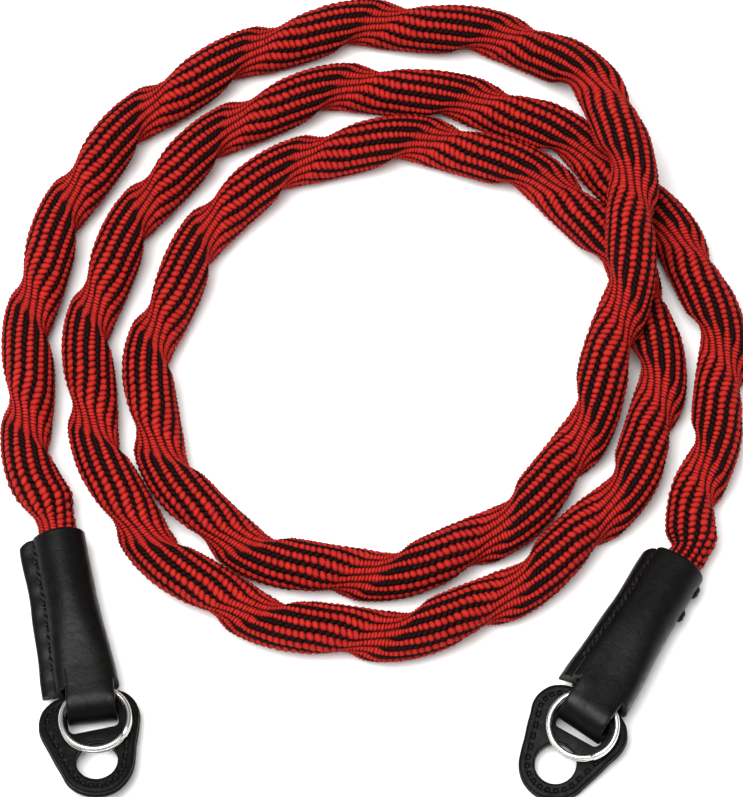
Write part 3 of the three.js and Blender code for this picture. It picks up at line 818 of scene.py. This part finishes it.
def make_tab(end):
    pivot = end_matrix(end) @ Matrix.Translation((TAB_BACK, TAB_SIDE, TAB_SEAT[end["side"]]))
    pivot = pivot @ Matrix.Rotation(-math.radians(end["tab_slope"]), 4, "Y")
    pivot = pivot @ Matrix.Translation((0, 0, -TAB_THICK / 2))
    place, out, length = even_loop(tab_outline(), TAB_CUTS)
    stitch_count = round(length / TAB_SEAM_PITCH)
    round_it = np.arange(len(place)) / len(place)
    puff = (0.5 + 0.5 * np.cos(2 * np.pi * round_it * stitch_count)) ** 2
    chance = np.random.default_rng(TAB_SEED[end["side"]])
    slow = np.append(chance.normal(0, 1, SLOW_WAVES - 1), 0)
    slow = np.interp(round_it, np.linspace(0, 1, SLOW_WAVES), slow)
    slot, slot_out, _ = even_loop(slot_outline(), SLOT_CUTS)
    hole, hole_out, _ = even_loop(arc((TIP, 0), HOLE_RADIUS, 0, 2 * math.pi), HOLE_CUTS)
    for layer in LAYERS:
        shell = bmesh.new()
        low, high = layer["low"], layer["high"]

        def ring(base, normal, inset, height):
            spots = base - normal * np.asarray(inset)[..., None]
            return [shell.verts.new((x, y, z)) for (x, y), z in
                    zip(spots, np.broadcast_to(height, len(base)))]

        def rim(base, normal, below, above, uneven):
            rows = [ring(base, normal, inset + uneven, low + rise) for inset, rise in below]
            rows += [ring(base, normal, inset + uneven, high - drop) for inset, drop in above]
            return rows

        def wall(rows):
            for lower, upper in zip(rows, rows[1:]):
                for j in range(len(lower)):
                    k = (j + 1) % len(lower)
                    shell.faces.new((lower[j], lower[k], upper[k], upper[j]))

        uneven = layer["set_back"] + RIM_UNEVEN * slow
        outer = rim(place, out, RIM_BELOW, RIM_ABOVE, uneven)
        if layer["front"]:
            swell = RIM_SWELL * (1 + SWELL_UNEVEN * slow)
            for row in RELIEF:
                sink = row["pit"] * (PIT_GROOVE + PIT_DEPTH * puff)
                outer.append(ring(place, out, row["inset"], high + row["swell"] * swell - sink))
        openings = [rim(base, normal, OPENING_BELOW, OPENING_ABOVE, 0)
                    for base, normal in ((slot, slot_out), (hole, hole_out))]
        for rows in (outer, *openings):
            wall(rows)
        for pick in (0, -1):
            loops = [rows[pick] for rows in (outer, *openings)]
            edges = [shell.edges.get((loop[j], loop[(j + 1) % len(loop)]))
                     for loop in loops for j in range(len(loop))]
            bmesh.ops.triangle_fill(shell, use_beauty=True, use_dissolve=False, edges=edges)
        bmesh.ops.recalc_face_normals(shell, faces=shell.faces)
        data = bpy.data.meshes.new(layer["name"] + end["side"])
        shell.to_mesh(data)
        shell.free()
        data.transform(pivot)
        data.polygons.foreach_set("use_smooth", [True] * len(data.polygons))
        tab = new_object(layer["name"] + end["side"], data)
        stands_for = "guard_tab_" + end["side"] if layer["front"] else None
        dress(tab, TAB_LEATHER, stands_for)
    # One short float of thread in each pit, from one needle hole to the next
    floats = []
    seam = place - out * TAB_SEAM_INSET
    points = TAB_THREAD["points"]
    for i in range(stitch_count):
        at = (i + 1) / stitch_count * len(seam)
        reach = TAB_THREAD["half_length"] * len(seam) / stitch_count
        index = np.round(np.linspace(at - reach, at + reach, points)).astype(int) % len(seam)
        bow = np.sin(np.linspace(0, math.pi, points))
        path = np.column_stack([seam[index], TAB_THREAD["low"] + TAB_THREAD["bow"] * bow])
        float_rings = swept(path, TAB_THREAD["radius"], TAB_THREAD["sides"])
        floats.append(skin("thread", placed(float_rings, pivot)))
    threads = join("tab_thread_" + end["side"], floats)
    dress(threads, THREAD)


# Thread of the sleeve's seam: two plies twisted round each other, from hole to hole
PLY_CUTS = 19
PLY_SIDES = 7
PLY_TWIST = 2.4 * math.pi
PLY_OFFSET = 0.55           # a ply's middle off the thread's, and its own radius, both
PLY_RADIUS = 0.62           # counted in thread radii
SINK_POWER = 0.6            # the thread rises steeply from its holes
SEAM_SPAN = (-1.5 * MM, 2.3 * MM)    # a stitch's two holes, from its place
SEAM_CLEAR = 3.5 * MM       # no stitch starts nearer to the sleeve's end
SEAM_LEAN = 0.3             # radians that the stitches lean over towards the tube
SEAM_THREAD = {"radius": 0.6 * MM, "rise": 0.45 * MM}
BUMP_AT = (5.2 * MM, 4.6 * MM)       # where the thread shows on the far side: y and z
BUMP_REACH = 1.3 * MM
BUMP_THREAD = {"radius": 0.42 * MM, "rise": 0.35 * MM}


def twisted(start, stop, up, thread):
    """Two twisted plies from one point to another, sinking in at both ends."""
    share = np.linspace(0, 1, PLY_CUTS)[:, None]
    line = start + (stop - start) * share
    line = line + up * thread["rise"] * np.sin(share * math.pi) ** SINK_POWER
    ahead = unit(stop - start)
    side = unit(np.cross(ahead, up))
    radius = thread["radius"]
    plies = []
    for half in (0, math.pi):
        turn = half + share * PLY_TWIST
        path = line + radius * PLY_OFFSET * (np.cos(turn) * side + np.sin(turn) * up)
        plies.append(skin("ply", swept(path, radius * PLY_RADIUS, PLY_SIDES)))
    return plies


def make_seam(end):
    matrix = end_matrix(end)
    lean = SEAM_LEAN - math.radians(end["lip_rise"])
    pieces = []

    def sew(spots, up, thread):
        start, stop = (placed(np.array(s), matrix) for s in spots)
        return twisted(start, stop, np.array(matrix.to_3x3()) @ np.array(up), thread)

    for at in np.arange(SEAM_FIRST, SLEEVE_LENGTH - SEAM_CLEAR, SEAM_PITCH):
        spots = []
        for off in SEAM_SPAN:
            y, z = sleeve_outline(at + off, end)
            spots.append((at + off, y[SEAM_COLUMN], z[SEAM_COLUMN]))
        pieces += sew(spots, (0, -math.sin(lean), math.cos(lean)), SEAM_THREAD)
    for at in end["side_bumps"]:
        spots = [(x, *BUMP_AT) for x in (at - BUMP_REACH, at + BUMP_REACH)]
        pieces += sew(spots, (0, 1, 0), BUMP_THREAD)
    threads = join("sleeve_thread_" + end["side"], pieces)
    dress(threads, THREAD)


# Split ring: one steel wire in two flat turns, with its step between the two ends
WIRE_RADIUS = 0.55 * MM
RING_RADIUS = 6.75 * MM
TURN_APART = 1.22 * MM
CROSSING = 0.08
RING_AT = (40.7 * MM, 0.25 * MM)
RING_HEIGHT = {"left": 6.435 * MM, "right": 5.406 * MM}
WIRE_END = math.pi / 4
WIRE_CUTS = 241
WIRE_SIDES = 14
WIRE_TAPER = {"over": 0.004, "least": 0.82}    # the cut ends are dressed: turns, share


def make_ring(end):
    turns = np.linspace(0, 2, WIRE_CUTS)
    step = np.clip((turns - 1) / CROSSING + 0.5, 0, 1)
    step = step * step * (3 - 2 * step)
    angle = WIRE_END + turns * 2 * math.pi
    path = np.stack([RING_RADIUS * np.cos(angle), RING_RADIUS * np.sin(angle),
                     TURN_APART * (step - 0.5)], 1)
    taper = np.clip(np.minimum(turns, 2 - turns) / WIRE_TAPER["over"], WIRE_TAPER["least"], 1)
    centre = Matrix.Translation((*RING_AT, RING_HEIGHT[end["side"]]))
    lean = Matrix.Rotation(-math.radians(end["ring_slope"]), 4, "Y")
    wire = swept(path, WIRE_RADIUS * taper, WIRE_SIDES)
    ring = skin("ring_wire_" + end["side"], placed(wire, end_matrix(end) @ centre @ lean))
    dress(ring, RING_STEEL, "split_ring_" + end["side"])


# Materials of the ends
LEATHER_PATTERN = {"grain": 0.35 * MM, "cloud": 4 * MM, "crease": 1.4 * MM}
TONE_FROM = 0.3             # the tone's ramp over the clouds
TONE_TO = 0.72
GLOSSIER = 0.07             # how much less and more rough than its middle it is
DULLER = 0.09


def leather(name, light, dark, roughness, shine, grain, wrinkle):
    """Smooth finished calf leather: nearly black, semi-matt, with a fine grain, softly
    uneven gloss and shallow wrinkles, so a broad light slides over it."""
    made, tree, face = new_material(name)
    where = add(tree, "ShaderNodeTexCoord")
    spot = where.outputs["Object"]
    scale = {kind: 1 / size for kind, size in LEATHER_PATTERN.items()}
    cells = add(tree, "ShaderNodeTexVoronoi", {"Vector": spot, "Scale": scale["grain"]},
                feature="SMOOTH_F1")
    clouds = add(tree, "ShaderNodeTexNoise", {"Vector": spot, "Scale": scale["cloud"],
                                              "Detail": 3})
    creases = add(tree, "ShaderNodeTexNoise", {"Vector": spot, "Scale": scale["crease"],
                                               "Detail": 5, "Distortion": 0.8})
    tone = add(tree, "ShaderNodeValToRGB", {"Fac": clouds.outputs[0]})
    tone.color_ramp.elements[0].color = dark
    tone.color_ramp.elements[0].position = TONE_FROM
    tone.color_ramp.elements[1].color = light
    tone.color_ramp.elements[1].position = TONE_TO
    tree.links.new(tone.outputs[0], face.inputs["Base Color"])
    gloss = add(tree, "ShaderNodeMapRange", {"Value": creases.outputs[0], "From Min": 0.3,
                                             "From Max": 0.7, "To Min": roughness - GLOSSIER,
                                             "To Max": roughness + DULLER})
    tree.links.new(gloss.outputs[0], face.inputs["Roughness"])
    low = add(tree, "ShaderNodeBump", {"Height": creases.outputs[0], "Strength": wrinkle,
                                       "Distance": 0.35 * MM})
    fine = add(tree, "ShaderNodeBump", {"Height": cells.outputs[0], "Strength": grain,
                                        "Distance": 0.05 * MM, "Normal": low.outputs[0]})
    tree.links.new(fine.outputs[0], face.inputs["Normal"])
    face.inputs["Specular IOR Level"].default_value = shine
    return made


def thread_material():
    """Waxed black sewing thread: dark, fibrous, with a dull waxy shine."""
    made, tree, face = new_material("waxed_polyester_thread")
    where = add(tree, "ShaderNodeTexCoord")
    fibre = add(tree, "ShaderNodeTexNoise", {"Vector": where.outputs["Object"],
                                             "Scale": 1 / (0.15 * MM), "Detail": 3})
    bump = add(tree, "ShaderNodeBump", {"Height": fibre.outputs[0], "Strength": 0.6,
                                        "Distance": 0.08 * MM})
    tree.links.new(bump.outputs[0], face.inputs["Normal"])
    face.inputs["Base Color"].default_value = srgb("#070707")
    face.inputs["Roughness"].default_value = 0.55
    face.inputs["Specular IOR Level"].default_value = 0.25
    return made


def steel():
    """Polished spring steel: bright, drawn wire with very fine marks round it."""
    made, tree, face = new_material("polished_spring_steel")
    where = add(tree, "ShaderNodeTexCoord")
    marks = add(tree, "ShaderNodeTexNoise", {"Vector": where.outputs["Object"],
                                             "Scale": 1 / (5 * MM), "Detail": 2})
    gloss = add(tree, "ShaderNodeMapRange", {"Value": marks.outputs[0], "From Min": 0.3,
                                             "From Max": 0.7, "To Min": 0.25, "To Max": 0.33})
    tree.links.new(gloss.outputs[0], face.inputs["Roughness"])
    face.inputs["Base Color"].default_value = srgb("#E6E4E0")
    face.inputs["Metallic"].default_value = 1
    return made


SLEEVE_LEATHER = leather("sleeve_calf_leather", srgb("#0B0B0A"), srgb("#060606"),
                         roughness=0.42, shine=0.13, grain=0.25, wrinkle=0.2)
TAB_LEATHER = leather("tab_calf_leather", srgb("#0A0A09"), srgb("#050505"),
                      roughness=0.5, shine=0.09, grain=0.4, wrinkle=0.5)
RAW_EDGE = leather("raw_leather_edge", srgb("#45423E"), srgb("#1C1B1A"),
                   roughness=0.7, shine=0.13, grain=0.6, wrinkle=0.4)
THREAD = thread_material()
RING_STEEL = steel()

for end in ENDS:
    make_sleeve(end)
    make_tongue(end)
    make_tab(end)
    make_seam(end)
    make_ring(end)


# Stage: a pale floor, one large soft light high on the left, a weak one on the right, and
# an even pale surrounding
FLOOR_HALF = 3
LIGHTS = (
    {"name": "softbox_left", "place": (-0.3, -0.2, 1.2), "size": 0.9, "power": 27},
    {"name": "softbox_right", "place": (0.5, -0.5, 1.2), "size": 0.7, "power": 4},
)
SURROUNDING = 0.24


def make_stage():
    made, _, face = new_material("pale_paper_floor")
    face.inputs["Base Color"].default_value = srgb("#F4F4F3")
    face.inputs["Roughness"].default_value = 0.9
    plane = bmesh.new()
    bmesh.ops.create_grid(plane, x_segments=1, y_segments=1, size=FLOOR_HALF)
    data = bpy.data.meshes.new("floor")
    plane.to_mesh(data)
    plane.free()
    data.materials.append(made)
    new_object("floor", data)


def make_light(name, place, size, power):
    data = bpy.data.lights.new(name, "AREA")
    data.shape = "DISK"
    data.size = size
    data.energy = power
    lamp = new_object(name, data)
    lamp.location = place
    lamp.rotation_euler = (AIM - Vector(place)).to_track_quat("-Z", "Y").to_euler()


make_stage()
for light in LIGHTS:
    make_light(**light)
world = bpy.data.worlds.new("studio")
world.use_nodes = True
background = world.node_tree.nodes["Background"]
background.inputs["Color"].default_value = srgb("#FFFFFF")
background.inputs["Strength"].default_value = SURROUNDING
bpy.context.scene.world = world
bpy.context.scene.view_settings.view_transform = "Standard"
